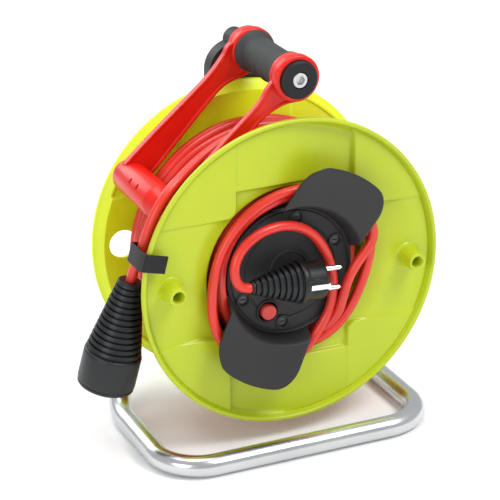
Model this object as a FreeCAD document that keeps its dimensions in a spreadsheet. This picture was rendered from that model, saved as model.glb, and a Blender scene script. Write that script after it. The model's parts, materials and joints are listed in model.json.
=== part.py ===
"""Extension cord reel: a spinning drum of cable on a bent tube frame, with a red carrying handle.

Millimetres. +Z is up, the drum's axle lies along Y and the open front of the drum faces -Y.
Every y below is measured backwards from the front lip of the drum; put() moves it so that the
origin lies on the floor, midway between the frame's front and the axle nut at the back.
Every z marked as drum-relative is measured from the axle.
"""
import FreeCAD, Part
import math
import os
import re

import Sketcher
from FreeCAD import Placement, Rotation, Vector

os.makedirs("parts", exist_ok=True)
doc = FreeCAD.newDocument("cord_reel")

SIZES = [
    ("axis_height", "163.4", "axle above the floor"),
    ("rim_radius", "145", "outside of both flanges"),
    ("rim_edge", "4.6", "width of the rims' outer edge"),
    ("rim_slope", "8.5", "how far in the plates' outer slope reaches"),
    ("rim_wall", "5.5", "radial width of a flange's lip"),
    ("drum_width", "129", "front lip to rear lip"),
    ("dish", "9", "how far a flange's plate lies behind its lip"),
    ("flange_wall", "3", "plate thickness"),
    ("panel_rise", "4", "height of the raised corner panels"),
    ("panel_edge", "57", "straight edges of the corner panels from the axle"),
    ("core_radius", "83.5", "outside of the core that the cable is wound on"),
    ("core_wall", "3", "core thickness"),
    ("recess_depth", "50", "front lip to the floor of the recess"),
    ("winding_radius", "118", "outside of the wound cable"),
    ("core_joint", "62", "front lip to the joint between the core's halves"),
    ("peg_offset", "117", "axle to each peg"),
    ("peg_radius", "8", "peg radius at its tip"),
    ("peg_bore", "5.5", "radius of the bore in each peg"),
    ("peg_reach", "15", "how far a peg stands out of the lip"),
    ("port_offset", "118", "axle to the round port in the rear flange"),
    ("port_radius", "13.5", "radius of that port"),
    ("axle_radius", "8", "steel axle"),
    ("bush_radius", "13", "outside of both bushes"),
    ("bush_gap", "0.08", "running clearance of the axle in its bushes"),
    ("hub_radius", "61", "lead hub"),
    ("hub_wall", "3", "lead hub's wall"),
    ("hub_face", "10", "front lip to the hub's floor"),
    ("wing_reach", "105.5", "axle to the wings' outer edge"),
    ("wing_width", "88", "width of a wing"),
    ("button_radius", "7.5", "reset button"),
    ("button_rise", "5", "how far the button stands out of the hub"),
    ("tube_radius", "10", "frame tube"),
    ("tube_wall", "1.5", "frame tube's wall"),
    ("bend_radius", "42", "bends of the frame tube, on its centreline"),
    ("front_gap", "35", "front run of the frame ahead of the lip"),
    ("left_run", "134.6", "left floor run from the axle"),
    ("right_run", "123.6", "right floor run from the axle"),
    ("run_back", "100", "lip to the rear corners of the floor frame"),
    ("bracket_front", "131.5", "lip to the rear bracket's front"),
    ("bracket_back", "157", "lip to the rear bracket's back"),
    ("bracket_half", "41.5", "half the bracket's width"),
    ("bracket_waist", "72", "axle to where the bracket's wide part ends"),
    ("neck_half", "26.3", "half the width of the bracket's neck"),
    ("neck_across", "2.7", "middle of the neck to the right of the axle"),
    ("neck_height", "152.4", "axle to the centre of the neck's round top"),
    ("neck_depth", "13.5", "the neck's depth"),
    ("axle_tail", "12", "axle thread and nut behind the bracket"),
    ("grip_across", "6", "grip's axis to the right of the axle"),
    ("grip_height", "179", "grip's axis above the axle"),
    ("grip_radius", "16", "rubber grip"),
    ("ring_radius", "21", "handle's end rings"),
    ("beam_across", "113", "handle's beam to the left of the axle"),
    ("beam_height", "74", "handle's beam above the axle"),
    ("beam_radius", "15.5", "handle's beam"),
    ("cord_radius", "4.5", "three-core rubber cable, 9 mm across"),
    ("fit_gap", "0.3", "gap between pieces that move past or lie beside each other"),
]

sheet = doc.addObject("Spreadsheet::Sheet", "Sizes")
for row, (alias, number, note) in enumerate(SIZES, start=1):
    sheet.set(f"A{row}", note)
    sheet.set(f"B{row}", number)
    sheet.setAlias(f"B{row}", alias)
doc.recompute()

WORD = re.compile(r"[a-z][a-z_]+")
FUNCTIONS = ("sin", "cos", "tan", "sqrt")
LIP = "((front_gap + tube_radius - bracket_back - axle_tail) / 2)"
UP = "axis_height"
ALONG_Y = Rotation(Vector(0, 0, 1), Vector(0, 1, 0))
nodes = []


def bound(size):
    """A size written with the sheet's names, as an expression for a property."""
    return WORD.sub(lambda m: m[0] if m[0] in FUNCTIONS else "Sizes." + m[0], str(size))


def value(size):
    """The same size as a number."""
    return float(sheet.evalExpression(str(size)))


def put(obj, x, y, z, turn=None):
    """Places obj at x, y behind the lip, and z above the floor."""
    obj.Placement = Placement(Vector(), turn or Rotation())
    for key, size in (("x", x), ("y", f"{LIP} + ({y})"), ("z", z)):
        obj.setExpression("Placement.Base." + key, bound(size))
    return obj


def place(x, y, z):
    """A fixed point in the part's own frame; z is drum-relative."""
    return Vector(value(x), value(f"{LIP} + ({y})"), value(f"{UP} + ({z})"))


def sized(kind, name, **sizes):
    obj = doc.addObject(kind, name)
    for key, size in sizes.items():
        obj.setExpression(key, bound(size))
    return obj


def rod(name, radius, length, x, y, z):
    """A cylinder that runs backwards from y; z is drum-relative."""
    obj = sized("Part::Cylinder", name, Radius=radius, Height=length)
    return put(obj, x, y, f"{UP} + ({z})", ALONG_Y)


def cone(name, front, back, length, x, y, z):
    obj = sized("Part::Cone", name, Radius1=front, Radius2=back, Height=length)
    return put(obj, x, y, f"{UP} + ({z})", ALONG_Y)


def block(name, width, depth, height, x, y, z):
    """A box from its low corner; z is drum-relative."""
    obj = sized("Part::Box", name, Length=width, Width=depth, Height=height)
    return put(obj, x, y, f"{UP} + ({z})")


def joined(name, pieces):
    obj = doc.addObject("Part::MultiFuse", name)
    obj.Shapes = pieces
    return obj


def less(name, base, tools):
    tool = tools[0] if len(tools) == 1 else joined(name + "_tools", tools)
    obj = doc.addObject("Part::Cut", name)
    obj.Base = base
    obj.Tool = tool
    return obj


def shared(name, base, tool):
    obj = doc.addObject("Part::Common", name)
    obj.Base = base
    obj.Tool = tool
    return obj


def spun(name, profile):
    """A body turned about its own Y axis from corners (radius, along)."""
    body = doc.addObject("PartDesign::Body", name)
    sketch = body.newObject("Sketcher::SketchObject", name + "_sketch")
    plane = [o for o in body.Origin.OriginFeatures if o.Role == "XY_Plane"][0]
    sketch.AttachmentSupport = [(plane, "")]
    sketch.MapMode = "FlatFace"
    corners = [Vector(value(r), value(along), 0) for r, along in profile]
    count = len(corners)
    for i, corner in enumerate(corners):
        sketch.addGeometry(Part.LineSegment(corner, corners[(i + 1) % count]), False)
    for i in range(count):
        sketch.addConstraint(Sketcher.Constraint("Coincident", i, 2, (i + 1) % count, 1))
    for i, corner in enumerate(profile):
        for key, axis, size in (("DistanceX", -2, corner[0]), ("DistanceY", -1, corner[1])):
            if value(size) == 0:
                sketch.addConstraint(Sketcher.Constraint("PointOnObject", i, 1, axis))
                continue
            made = sketch.addConstraint(Sketcher.Constraint(key, i, 1, value(size)))
            sketch.setExpression(f"Constraints[{made}]", bound(size))
    turned = body.newObject("PartDesign::Revolution", name + "_turned")
    turned.Profile = sketch
    turned.ReferenceAxis = (sketch, ["V_Axis"])
    turned.Angle = 360
    body.Tip = turned
    return body


def on_drum(name, profile):
    """A turned body about the axle, its profile measured from the front lip."""
    return put(spun(name, profile), "0", "0", UP)


def eased(points, closed=False, radius=None):
    """Straight runs through the points, joined by tangent arcs as large as the runs allow."""
    count = len(points)
    edges = []
    radii = []
    last = None if closed else points[0]
    first = None
    for i in range(0 if closed else 1, count if closed else count - 1):
        before, here, after = points[i - 1], points[i], points[(i + 1) % count]
        back = before - here
        ahead = after - here
        half = (math.pi - back.getAngle(ahead)) / 2
        cut_back = radius * math.tan(half) if radius else 0.45 * min(back.Length, ahead.Length)
        radii.append(cut_back / math.tan(half))
        start = here + Vector(back).normalize() * cut_back
        end = here + Vector(ahead).normalize() * cut_back
        inward = (Vector(back).normalize() + Vector(ahead).normalize()).normalize()
        middle = here + inward * (radii[-1] / math.cos(half) - radii[-1])
        if last is not None:
            edges.append(Part.LineSegment(last, start))
        else:
            first = start
        edges.append(Part.Arc(start, middle, end))
        last = end
    edges.append(Part.LineSegment(last, first if closed else points[-1]))
    return edges, radii


def plate(name, points, thickness, y, radius=None):
    """A flat piece across Y, from its outline's corners (x, z) with eased corners; z is drum-relative."""
    body = doc.addObject("PartDesign::Body", name)
    sketch = body.newObject("Sketcher::SketchObject", name + "_sketch")
    plane = [o for o in body.Origin.OriginFeatures if o.Role == "XZ_Plane"][0]
    sketch.AttachmentSupport = [(plane, "")]
    sketch.MapMode = "FlatFace"
    corners = [Vector(value(x), value(z), 0) for x, z in points]
    for edge in eased(corners, True, radius)[0]:
        sketch.addGeometry(edge, False)
    pad = body.newObject("PartDesign::Pad", name + "_pad")
    pad.Profile = sketch
    pad.setExpression("Length", bound(thickness))
    pad.Reversed = True
    body.Tip = pad
    return put(body, "0", y, UP)


def swept(name, points, radius, bend=None):
    """A round bar along a route; returns it and prints the route's length and tightest arc."""
    edges, radii = eased(points, False, bend)
    wire = Part.Wire([edge.toShape() for edge in edges])
    along = wire.Edges[0].tangentAt(wire.Edges[0].FirstParameter)
    circle = Part.Wire([Part.Circle(points[0], along, radius).toShape()])
    obj = doc.addObject("Part::Feature", name)
    obj.Shape = wire.makePipeShell([circle], True, True)
    ideal = math.pi * radius * radius * wire.Length
    print(name, "route mm", round(wire.Length, 1), "volume ratio", round(obj.Shape.Volume / ideal, 4),
          "arc radii", [round(r, 1) for r in radii])
    return obj


def node(obj, label):
    obj.Label = label
    nodes.append(obj)
    return obj


def around(offset, degrees):
    """Sizes of a point that far from the axle, as (x, drum-relative z)."""
    turn = math.radians(degrees)
    return f"({offset}) * {math.cos(turn):.6f}", f"({offset}) * {math.sin(turn):.6f}"


# --- drum -----------------------------------------------------------------------------------------

HUB_SCREW_TURNS = (25, 82, 205, 262)
HUB_SCREW_OFFSET = "50"
DRUM_SCREW_TURNS = range(30, 390, 60)
DRUM_SCREW_OFFSET = "71"
PEG_TURNS = (-2, 178)
CORE_BORE = "core_radius - core_wall"
PLATE_BACK = "dish + flange_wall"
WEB_BACK = "recess_depth + flange_wall"
REAR_PLATE = "drum_width - dish - flange_wall"
LAP = 4
BOSS_LENGTH = 19
LEAD_EXIT = around("68", 240)
CABLE_EXIT_TURN = 240
CABLE_EXIT_BACK = "100"
GROMMET_WALL = "2"


def corner_panels():
    """The four raised panels between the flange's dished arms."""
    ring = on_drum("panel_ring", [
        (f"{CORE_BORE} + 4", "dish - panel_rise"),
        ("rim_radius - rim_wall / 2", "dish - panel_rise"),
        ("rim_radius - rim_wall / 2", "dish + flange_wall / 2"),
        (f"{CORE_BORE} + 4", "dish + flange_wall / 2"),
    ])
    corners = []
    for i, (x, z) in enumerate((("panel_edge", "panel_edge"), ("-rim_radius", "panel_edge"),
                                ("-rim_radius", "-rim_radius"), ("panel_edge", "-rim_radius"))):
        corners.append(block(f"panel_corner_{i}", "rim_radius - panel_edge", "dish + flange_wall",
                             "rim_radius - panel_edge", x, "0", z))
    return shared("corner_panels", ring, joined("panel_corners", corners))


def front_flange():
    shell = on_drum("front_shell", [
        ("bush_radius", "recess_depth"),
        (CORE_BORE, "recess_depth"),
        (CORE_BORE, "dish"),
        ("rim_radius - rim_slope - 0.5", "dish"),
        ("rim_radius - rim_wall", "dish - rim_edge"),
        ("rim_radius - rim_wall", "0"),
        ("rim_radius", "0"),
        ("rim_radius", "rim_edge"),
        ("rim_radius - rim_slope", PLATE_BACK),
        ("core_radius", PLATE_BACK),
        ("core_radius", "core_joint"),
        (f"{CORE_BORE} + core_wall / 2", "core_joint"),
        (f"{CORE_BORE} + core_wall / 2", f"core_joint + {LAP}"),
        (CORE_BORE, f"core_joint + {LAP}"),
        (CORE_BORE, WEB_BACK),
        ("bush_radius + 3.5", WEB_BACK),
        ("bush_radius + 3.5", f"{WEB_BACK} + {BOSS_LENGTH}"),
        ("bush_radius", f"{WEB_BACK} + {BOSS_LENGTH}"),
    ])
    solids = [shell, corner_panels()]
    bores = []
    for i, turn in enumerate(PEG_TURNS):
        x, z = around("peg_offset", turn)
        solids.append(cone(f"peg_{i}", "peg_radius", "peg_radius + 1.6", "peg_reach + dish + 1",
                           x, "-peg_reach", z))
        bores.append(rod(f"peg_bore_{i}", "peg_bore", "peg_reach + dish - 2", x, "-peg_reach", z))
    for i, turn in enumerate(HUB_SCREW_TURNS):
        x, z = around(HUB_SCREW_OFFSET, turn)
        solids.append(rod(f"web_boss_{i}", "4.5", "8", x, f"{WEB_BACK} - 1", z))
        bores.append(rod(f"web_hole_{i}", "2", "30", x, "recess_depth - 1", z))
    for i, turn in enumerate(DRUM_SCREW_TURNS):
        x, z = around(DRUM_SCREW_OFFSET, turn)
        bores.append(rod(f"web_clear_{i}", "2.6", "8", x, "recess_depth - 1", z))
    bores.append(rod("lead_way", f"cord_radius + {GROMMET_WALL}", "8", LEAD_EXIT[0], "recess_depth - 1", LEAD_EXIT[1]))
    return less("front_flange", joined("front_solid", solids), bores)


def rear_flange():
    shell = on_drum("rear_shell", [
        ("bush_radius", f"{REAR_PLATE} + flange_wall - 22"),
        ("bush_radius + 3.5", f"{REAR_PLATE} + flange_wall - 22"),
        ("bush_radius + 3.5", REAR_PLATE),
        (CORE_BORE, REAR_PLATE),
        (CORE_BORE, f"core_joint + {LAP} + fit_gap"),
        (f"{CORE_BORE} + core_wall / 2 + fit_gap / 2", f"core_joint + {LAP} + fit_gap"),
        (f"{CORE_BORE} + core_wall / 2 + fit_gap / 2", "core_joint"),
        ("core_radius", "core_joint"),
        ("core_radius", REAR_PLATE),
        ("rim_radius - rim_slope", REAR_PLATE),
        ("rim_radius", "drum_width - rim_edge"),
        ("rim_radius", "drum_width"),
        ("rim_radius - rim_wall", "drum_width"),
        ("rim_radius - rim_wall", "drum_width - dish + rim_edge"),
        ("rim_radius - rim_slope - 0.5", "drum_width - dish"),
        ("bush_radius", "drum_width - dish"),
    ])
    solids = [shell]
    bores = []
    for i, turn in enumerate(DRUM_SCREW_TURNS):
        x, z = around(DRUM_SCREW_OFFSET, turn)
        solids.append(rod(f"drum_boss_{i}", "5.5", f"{REAR_PLATE} - ({WEB_BACK}) + 1", x, WEB_BACK, z))
        bores.append(rod(f"drum_hole_{i}", "2.2", "30", x, f"{WEB_BACK} - 1", z))
    x, z = around("port_offset", 177.2)
    bores.append(rod("port", "port_radius", "20", x, f"{REAR_PLATE} - 5", z))
    x, z = around("core_radius - 8", CABLE_EXIT_TURN)
    way = sized("Part::Cylinder", "cable_way", Radius=f"cord_radius + {GROMMET_WALL}", Height="16")
    put(way, x, CABLE_EXIT_BACK, f"{UP} + {z}", Rotation(Vector(0, 0, 1), outward(CABLE_EXIT_TURN)))
    bores.append(way)
    return less("rear_flange", joined("rear_solid", solids), bores)


def outward(degrees):
    return Vector(math.cos(math.radians(degrees)), 0, math.sin(math.radians(degrees)))


def screws(name, turns, offset, shank, head, head_height, length, seat):
    """Identical screws along Y whose heads sit in front of seat."""
    made = []
    for i, turn in enumerate(turns):
        x, z = around(offset, turn)
        shaft = rod(f"{name}_shank_{i}", shank, length, x, f"{seat} - 0.5", z)
        cap = rod(f"{name}_head_{i}", head, head_height, x, f"{seat} - {head_height}", z)
        slot = block(f"{name}_slot_{i}", f"{head} * 1.4", "1.2", "0.9",
                     f"{x} - {head} * 0.7", f"{seat} - {head_height}", f"{z} - 0.45")
        made.append(less(f"{name}_{i}", joined(f"{name}_solid_{i}", [shaft, cap]), [slot]))
    obj = doc.addObject("Part::Compound", name)
    obj.Links = made
    return obj


def bush(name, front, back, flange_front):
    """A flanged plain bearing, its flange at the front or the back."""
    bore = "axle_radius + bush_gap"
    if flange_front:
        corners = [(bore, f"{front} - 3"), ("bush_radius + 4", f"{front} - 3"),
                   ("bush_radius + 4", front), ("bush_radius", front), ("bush_radius", back),
                   (bore, back)]
    else:
        corners = [(bore, front), ("bush_radius", front), ("bush_radius", back),
                   ("bush_radius + 4", back), ("bush_radius + 4", f"{back} + 3"),
                   (bore, f"{back} + 3")]
    return on_drum(name, corners)


# --- lead hub: the black spool in the recess -------------------------------------------------------

WING_ROOT = 6
WING_WALL = 3
WING_TURN = 60
WING_LEAN = 10
BUTTON_AT = ("-22", "-36")
BUTTON_WELL = "button_radius + fit_gap"


def lead_hub():
    drum = on_drum("hub_drum", [
        ("0", "hub_face"),
        ("hub_radius", "hub_face"),
        ("hub_radius", "recess_depth"),
        ("hub_radius - hub_wall", "recess_depth"),
        ("hub_radius - hub_wall", "hub_face + hub_wall"),
        ("0", "hub_face + hub_wall"),
    ])
    flare = on_drum("hub_flare", [
        ("hub_radius - hub_wall", "hub_face + 1"),
        ("hub_radius - hub_wall", "hub_face - 2"),
        (f"hub_radius + {WING_ROOT}", "-8"),
        ("wing_reach", f"-8 - {WING_LEAN}"),
        ("wing_reach", f"-8 - {WING_LEAN} + {WING_WALL}"),
        (f"hub_radius + {WING_ROOT} + 1", f"-8 + {WING_WALL} + 0.2"),
        ("hub_radius", "hub_face - 1"),
        ("hub_radius", "hub_face + 1"),
    ])
    masks = []
    for i, turn in enumerate((WING_TURN, WING_TURN + 180)):
        mask = sized("Part::Box", f"wing_mask_{i}", Length="wing_reach", Width="wing_width", Height="60")
        edges = doc.addObject("Part::Fillet", f"wing_round_{i}")
        edges.Base = mask
        doc.recompute()
        far = [k + 1 for k, e in enumerate(mask.Shape.Edges)
               if all(abs(v.Point.x - value("wing_reach")) < 0.01 for v in e.Vertexes)
               and abs(e.Vertexes[0].Point.z - e.Vertexes[1].Point.z) > 1]
        edges.Edges = [(k, 17.0, 17.0) for k in far]
        lay = Rotation(Vector(0, 1, 0), -turn) * Rotation(Vector(1, 0, 0), -90)
        shift = lay.multVec(Vector(0, -value("wing_width") / 2, -30))
        edges.Placement = Placement(place("0", "0", "0") + shift, lay)
        masks.append(edges)
    wings = shared("wings", flare, joined("wing_masks", masks))
    solids = [drum, wings]
    holes = []
    for i, turn in enumerate(HUB_SCREW_TURNS):
        x, z = around(HUB_SCREW_OFFSET, turn)
        solids.append(rod(f"hub_boss_{i}", "5.5", "recess_depth - hub_face - 1", x, "hub_face + 1", z))
        holes.append(rod(f"hub_hole_{i}", "2.3", "recess_depth", x, "hub_face - 1", z))
        holes.append(rod(f"hub_sink_{i}", "4.2", "5", x, "hub_face - 1", z))
    solids.append(rod("button_collar", f"{BUTTON_WELL} + 2", "hub_wall + 5", BUTTON_AT[0],
                      "hub_face + 0.5", BUTTON_AT[1]))
    holes.append(rod("button_well", BUTTON_WELL, "hub_wall + 12", BUTTON_AT[0], "hub_face - 2", BUTTON_AT[1]))
    return less("lead_hub", joined("hub_solid", solids), holes)


SPRING_RADIUS = "3.4"
SPRING_WIRE = 0.4
SPRING_TURNS = 4
SPRING_STEPS = 8


def reset_parts():
    """The thermal cut-out behind the hub's floor, its button and its return spring."""
    seat = "hub_face + hub_wall + 5.8"
    case = rod("cutout_case", "12", "22", BUTTON_AT[0], seat, BUTTON_AT[1])
    guide = rod("cutout_guide", "2.6", "10", BUTTON_AT[0], f"{seat} - 1", BUTTON_AT[1])
    cutout = less("cutout", case, [guide])
    tab = block("cutout_tab", "6", "7", "1", f"{BUTTON_AT[0]} - 8", f"{seat} + 21", f"{BUTTON_AT[1]} - 4")
    other = block("cutout_tab_2", "6", "7", "1", f"{BUTTON_AT[0]} + 2", f"{seat} + 21", f"{BUTTON_AT[1]} + 4")
    node(joined("thermal_body", [cutout, tab, other]), "thermal_cutout")
    face = "hub_face - button_rise"
    cap = rod("button_cap", "button_radius", "button_rise + 3.5", BUTTON_AT[0], face, BUTTON_AT[1])
    stem = rod("button_stem", "2.2", f"{seat} + 4 - ({face} + 5)", BUTTON_AT[0], f"{face} + 5", BUTTON_AT[1])
    node(joined("button", [cap, stem]), "reset_button")
    front = value(f"{face} + button_rise + 4.2")
    length = value(seat) - SPRING_WIRE * 1.2 - front
    steps = SPRING_TURNS * SPRING_STEPS
    points = []
    for k in range(steps + 1):
        across, up = around(SPRING_RADIUS, 360 / SPRING_STEPS * k)
        points.append(place(f"{BUTTON_AT[0]} + {across}", front + length * k / steps,
                            f"{BUTTON_AT[1]} + {up}"))
    node(swept("spring", points, SPRING_WIRE), "button_spring")


def grommets():
    """The rubber sleeves where the lead passes the recess floor and the cable passes the core."""
    hole = "cord_radius"
    sleeve = f"{hole} + {GROMMET_WALL} - fit_gap"
    section = [(hole, "0"), (sleeve, "0"), (sleeve, "flange_wall"), (f"{sleeve} + 1.8", "flange_wall"),
               (f"{sleeve} + 1.8", "flange_wall + 1.8"), (hole, "flange_wall + 1.8")]
    lead = spun("lead_sleeve", section)
    node(put(lead, LEAD_EXIT[0], "recess_depth", f"{UP} + {LEAD_EXIT[1]}"), "lead_grommet")
    section = [(hole, "0"), (sleeve, "0"), (sleeve, "core_wall + 0.2"), (f"{sleeve} + 1.8", "core_wall + 0.7"),
               (f"{sleeve} + 1.8", "core_wall + 2.2"), (hole, "core_wall + 2.2")]
    cable = spun("cable_sleeve", section)
    x, z = around("core_radius - 0.3", CABLE_EXIT_TURN)
    inward = outward(CABLE_EXIT_TURN) * -1
    node(put(cable, x, CABLE_EXIT_BACK, f"{UP} + {z}", Rotation(Vector(0, 1, 0), inward)), "cable_grommet")


TERMINAL_FRONT = "61"
TERMINAL_BACK = "79"
INNER_ROUTE = [
    around("80.8", CABLE_EXIT_TURN), around("72", CABLE_EXIT_TURN), ("-30", "-54.5"), ("-20", "-51.5"),
    ("-14", "-52"), ("-14", "-52"),
]
INNER_BACKS = (CABLE_EXIT_BACK, CABLE_EXIT_BACK, "99", "94.5", "86.5", TERMINAL_BACK)


def terminal_parts():
    """The terminal block in the drum that joins the lead to the cable, with its screws."""
    depth = f"{TERMINAL_BACK} - {TERMINAL_FRONT}"
    case = block("terminal_case", "48", depth, "18", "-44", TERMINAL_FRONT, "-62")
    wells = []
    made = []
    for i in range(3):
        x = f"-36 + {i} * 9"
        wells.append(rod(f"terminal_well_{i}", "2.6", "6", x, f"{TERMINAL_BACK} - 5", "-48.5"))
        wells.append(rod(f"terminal_thread_{i}", "1.6", "12", x, f"{TERMINAL_BACK} - 12", "-48.5"))
        shank = rod(f"terminal_shank_{i}", "1.6", "6.4", x, f"{TERMINAL_BACK} - 11", "-48.5")
        head = rod(f"terminal_head_{i}", "2.4", "1.6", x, f"{TERMINAL_BACK} - 4.8", "-48.5")
        made.append(joined(f"terminal_screw_{i}", [shank, head]))
    node(less("terminal", case, wells), "terminal_block")
    obj = doc.addObject("Part::Compound", "terminal_set")
    obj.Links = made
    node(obj, "terminal_screws")
    route = [place(x, y, z) for (x, z), y in zip(INNER_ROUTE, INNER_BACKS)]
    node(swept("cable_inner_end", route, value("cord_radius")), "cable_inner_end")
    node(rod("lead_inner", "cord_radius", f"{TERMINAL_FRONT} - (hub_face + 11.3)", LEAD_EXIT[0],
             "hub_face + 11.3", LEAD_EXIT[1]), "lead_inner_end")


# --- frame ----------------------------------------------------------------------------------------

SOCKET_IN = ("30", "-18")
RISER_FOOT = ("108", "-101.4")
TUBE_BACK = "146"


def tube_route():
    floor_level = "tube_radius - axis_height"
    front = "-front_gap"
    left = [(f"-{SOCKET_IN[0]}", TUBE_BACK, SOCKET_IN[1]), (f"-{RISER_FOOT[0]}", TUBE_BACK, RISER_FOOT[1]),
            ("-left_run", "run_back", floor_level), ("-left_run", front, floor_level)]
    right = [("right_run", front, floor_level), ("right_run", "run_back", floor_level),
             (f"{RISER_FOOT[0]} - left_run + right_run", TUBE_BACK, RISER_FOOT[1]),
             (SOCKET_IN[0], TUBE_BACK, SOCKET_IN[1])]
    return [place(*p) for p in left + right]


def socket_direction(side):
    """From a tube socket's inner end down to the riser, on side -1 (left) or 1."""
    route = tube_route()
    ends = (route[0], route[1]) if side < 0 else (route[-1], route[-2])
    return ends[0], (ends[1] - ends[0]).normalize()


def frame_tube():
    route = tube_route()
    bend = value("bend_radius")
    outer = swept("tube_outside", route, value("tube_radius"), bend)
    inner = swept("tube_inside", route, value("tube_radius - tube_wall"), bend)
    holes = []
    for i, side in enumerate((-1, 1)):
        start, way = socket_direction(side)
        hole = sized("Part::Cylinder", f"tube_hole_{i}", Radius="3.2", Height="40")
        hole.Placement = Placement(start + way * 18 + Vector(0, -20, 0), ALONG_Y)
        holes.append(hole)
    return less("frame_tube", less("tube", outer, [inner]), holes)


GRIP_BOSS_FRONT = "drum_width - 13.1"
BRACKET_FACE = "6"
BRACKET_WALL = "5"


def stadium(name, half, across, top, front, depth):
    """An upright plate with round ends, from the axle's height up to top."""
    return joined(name, [
        rod(name + "_low", half, depth, across, front, "0"),
        rod(name + "_high", half, depth, across, front, top),
        block(name + "_mid", f"2 * ({half})", depth, top, f"{across} - ({half})", front, "0"),
    ])


def rear_bracket():
    depth = "bracket_back - bracket_front"
    hollow = f"bracket_front + {BRACKET_FACE}"
    shell = less("bracket_shell", joined("bracket_outside", [
        stadium("wide", "bracket_half", "0", "bracket_waist", "bracket_front", depth),
        stadium("neck", "neck_half", "neck_across", "neck_height", "bracket_front", "neck_depth"),
    ]), [
        stadium("wide_hollow", f"bracket_half - {BRACKET_WALL}", "0", "bracket_waist", hollow, depth),
        stadium("neck_hollow", f"neck_half - {BRACKET_WALL}", "neck_across", "neck_height", hollow,
                "neck_depth"),
    ])
    middle = joined("bracket_middle", [
        shell,
        rod("axle_boss", "17", depth, "0", "bracket_front", "0"),
        rod("grip_boss", "10.5", f"bracket_front + neck_depth - ({GRIP_BOSS_FRONT})", "grip_across",
            GRIP_BOSS_FRONT, "grip_height"),
        block("bracket_rib", "4", "neck_depth - 3", "neck_height", "neck_across - 2",
              "bracket_front + 1", "5"),
        block("bracket_bar", "2 * bracket_half - 6", f"{depth} - 3", "4", "3 - bracket_half",
              "bracket_front + 1", "bracket_waist"),
        block("dog_web", "9", f"bracket_front - ({GRIP_BOSS_FRONT}) + 1", "16", "grip_across - 4.5",
              GRIP_BOSS_FRONT, "grip_height - 19.5"),
        block("handle_dog", "9", "9", "10", "grip_across - 4.5", f"{GRIP_BOSS_FRONT} - 3.5",
              "grip_height - 19.5"),
    ])
    solids = [middle]
    bores = [
        rod("axle_bore", "axle_radius - 2", "60", "0", "bracket_front - 5", "0"),
        rod("bolt_bore", "4.3", "80", "grip_across", "bracket_front - 30", "grip_height"),
        rod("nut_seat", "8.2", "8", "grip_across", "bracket_front + neck_depth - 7", "grip_height"),
    ]
    for i, side in enumerate((-1, 1)):
        start, way = socket_direction(side)
        sleeve = sized("Part::Cylinder", f"socket_{i}", Radius="tube_radius + 3.5", Height="44")
        sleeve.Placement = Placement(start - way * 6, Rotation(Vector(0, 0, 1), way))
        solids.append(sleeve)
        bore = sized("Part::Cylinder", f"socket_bore_{i}", Radius="tube_radius + fit_gap / 2", Height="60")
        bore.Placement = Placement(start - way * 0.2, Rotation(Vector(0, 0, 1), way))
        bores.append(bore)
        hole = sized("Part::Cylinder", f"socket_hole_{i}", Radius="3.2", Height="60")
        hole.Placement = Placement(start + way * 18 + Vector(0, -30, 0), ALONG_Y)
        bores.append(hole)
    return less("rear_bracket", joined("bracket_solid", solids), bores)


def socket_screws():
    """One screw through each socket and the tube end in it, its nut in front."""
    made = []
    for i, side in enumerate((-1, 1)):
        start, way = socket_direction(side)
        at = start + way * 18
        shank = sized("Part::Cylinder", f"socket_shank_{i}", Radius="3", Height="2 * tube_radius + 9")
        shank.Placement = Placement(at + Vector(0, -value("tube_radius") - 4.5, 0), ALONG_Y)
        head = sized("Part::Cylinder", f"socket_head_{i}", Radius="5", Height="4")
        head.Placement = Placement(at + Vector(0, value("tube_radius") + 3.6, 0), ALONG_Y)
        key = sized("Part::Prism", f"socket_key_{i}", Circumradius="2.5", Height="3")
        key.Polygon = 6
        key.Placement = Placement(at + Vector(0, value("tube_radius") + 5.6, 0), ALONG_Y)
        made.append(less(f"socket_screw_{i}", joined(f"socket_bolt_{i}", [shank, head]), [key]))
    obj = doc.addObject("Part::Compound", "socket_bolts")
    obj.Links = made
    return obj


def axle_parts():
    tail = "axle_radius - 2"
    node(on_drum("axle_bar", [
        ("0", "41"), ("axle_radius - 1", "41"), ("axle_radius", "42"), ("axle_radius", "43.2"),
        ("axle_radius - 0.8", "43.2"), ("axle_radius - 0.8", "44.6"), ("axle_radius", "44.6"),
        ("axle_radius", "drum_width - dish + 3.3"), ("axle_radius + 4", "drum_width - dish + 3.3"),
        ("axle_radius + 4", "bracket_front"), (tail, "bracket_front"),
        (tail, "bracket_back + axle_tail - 1"), (f"{tail} - 1", "bracket_back + axle_tail"),
        ("0", "bracket_back + axle_tail"),
    ]), "axle")
    clip = on_drum("circlip_ring", [("axle_radius - 0.7", "43.3"), ("axle_radius + 3", "43.3"),
                                    ("axle_radius + 3", "44.5"), ("axle_radius - 0.7", "44.5")])
    gap = block("circlip_gap", "6", "6", "20", "-3", "40", "0")
    node(less("circlip", clip, [gap]), "axle_circlip")
    node(on_drum("front_washer", [("axle_radius + 0.15", "44.7"), ("bush_radius + 3", "44.7"),
                                  ("bush_radius + 3", "46.7"), ("axle_radius + 0.15", "46.7")]),
         "axle_washer")
    rear = on_drum("rear_washer", [(f"{tail} + 0.2", "bracket_back"), ("14", "bracket_back"),
                                   ("14", "bracket_back + 2"), (f"{tail} + 0.2", "bracket_back + 2")])
    node(rear, "axle_nut_washer")
    hexagon = sized("Part::Prism", "nut_hexagon", Circumradius="10.97", Height="8")
    hexagon.Polygon = 6
    put(hexagon, "0", "bracket_back + 2", UP, ALONG_Y)
    bore = rod("nut_bore", tail, "12", "0", "bracket_back + 1", "0")
    node(less("nut", hexagon, [bore]), "axle_nut")


# --- handle ---------------------------------------------------------------------------------------

FRONT_ARM = "14"
REAR_ARM = "100"
ARM_THICK = {"front": "6", "rear": "7"}


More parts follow.
